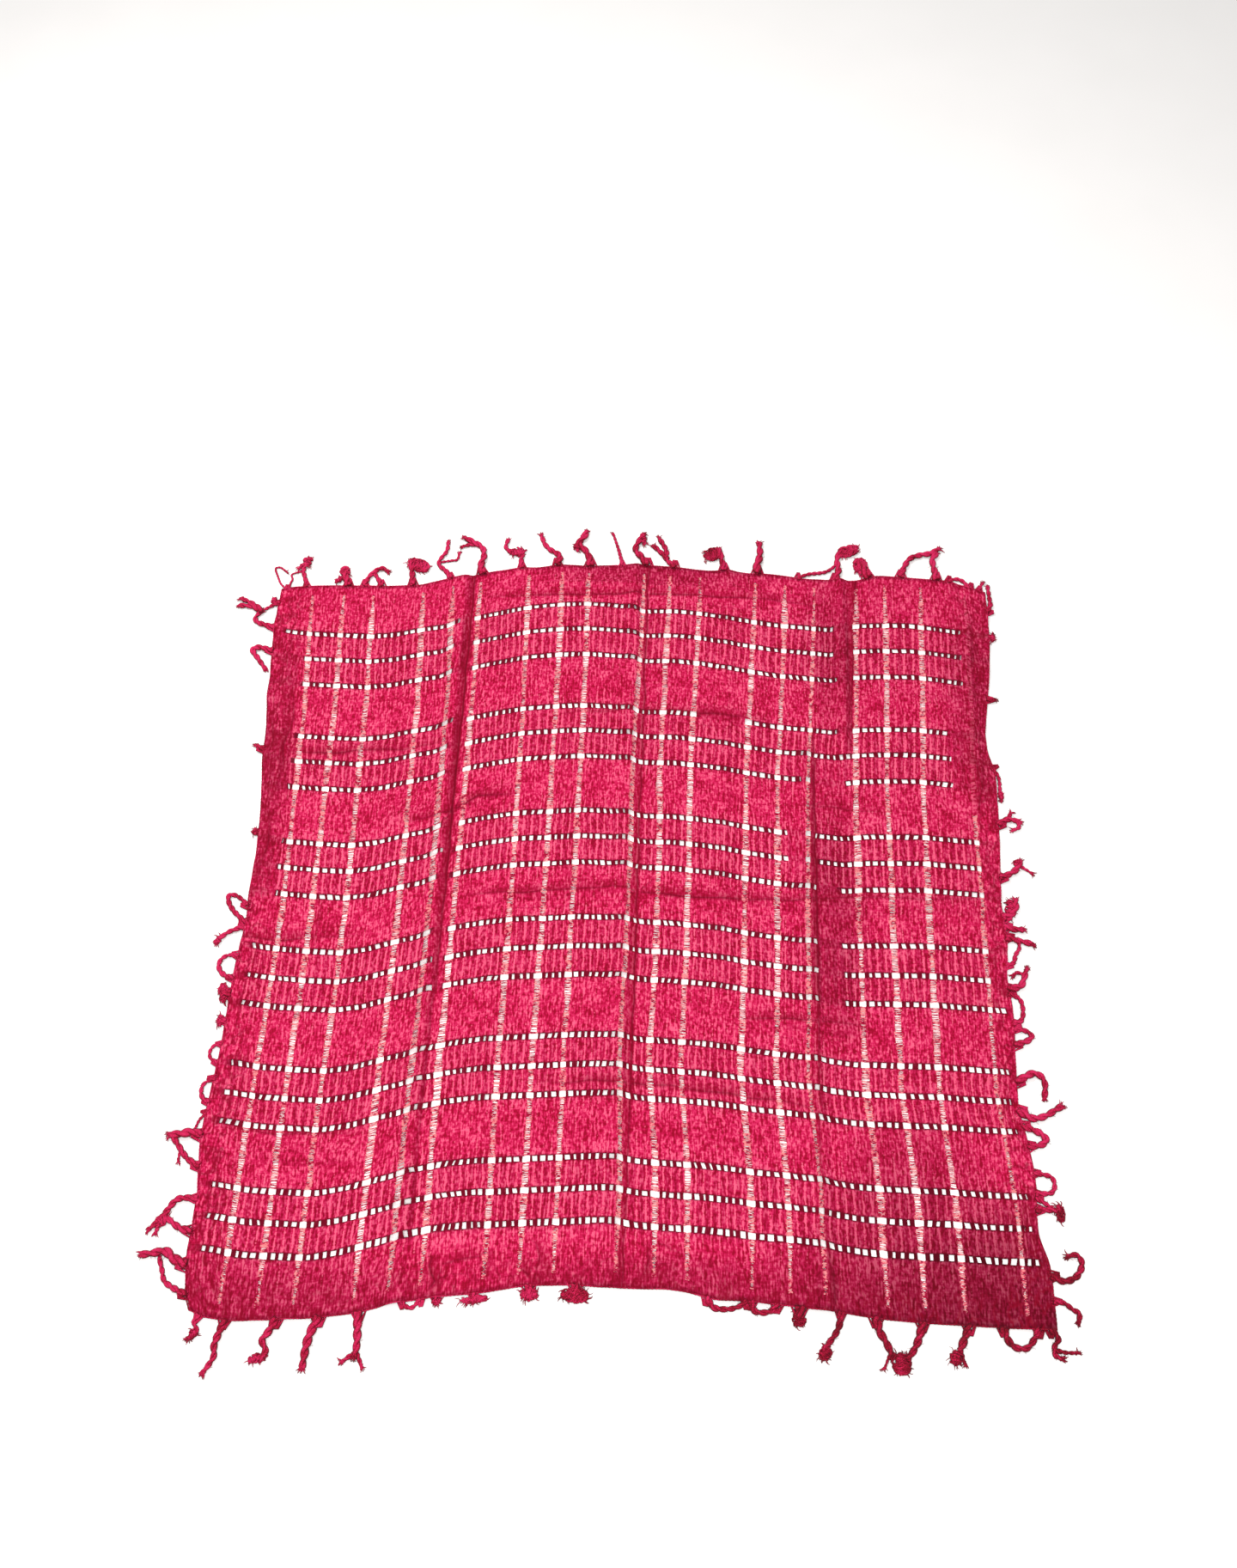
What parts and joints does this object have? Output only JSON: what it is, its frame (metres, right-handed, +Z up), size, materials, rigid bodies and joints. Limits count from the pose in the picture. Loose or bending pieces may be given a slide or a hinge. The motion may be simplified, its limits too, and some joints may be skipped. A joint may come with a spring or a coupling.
{
  "type": "square fringed openwork shawl",
  "caption": "Square handwoven openwork shawl laid flat, with open rows and columns crossing the weave and twisted tassels along every edge.",
  "frame": {"origin": "under the middle of the whole piece, tassels included, on the surface that it lies on", "axes": "+X along the near edge to the right, +Y from the near edge to the far edge, +Z up out of the surface"},
  "size_m": [1.1048, 1.1648, 0.0158],
  "materials": {
    "cloth": "loose handwoven openwork cloth, matt with a faint sheen",
    "tassels": "twisted yarn with frayed ends, matt"
  },
  "bodies": {
    "root": {"cloth": "cloth", "fringe_far": "tassels", "fringe_near": "tassels", "fringe_left": "tassels", "fringe_right": "tassels"}
  },
  "joints": []
}
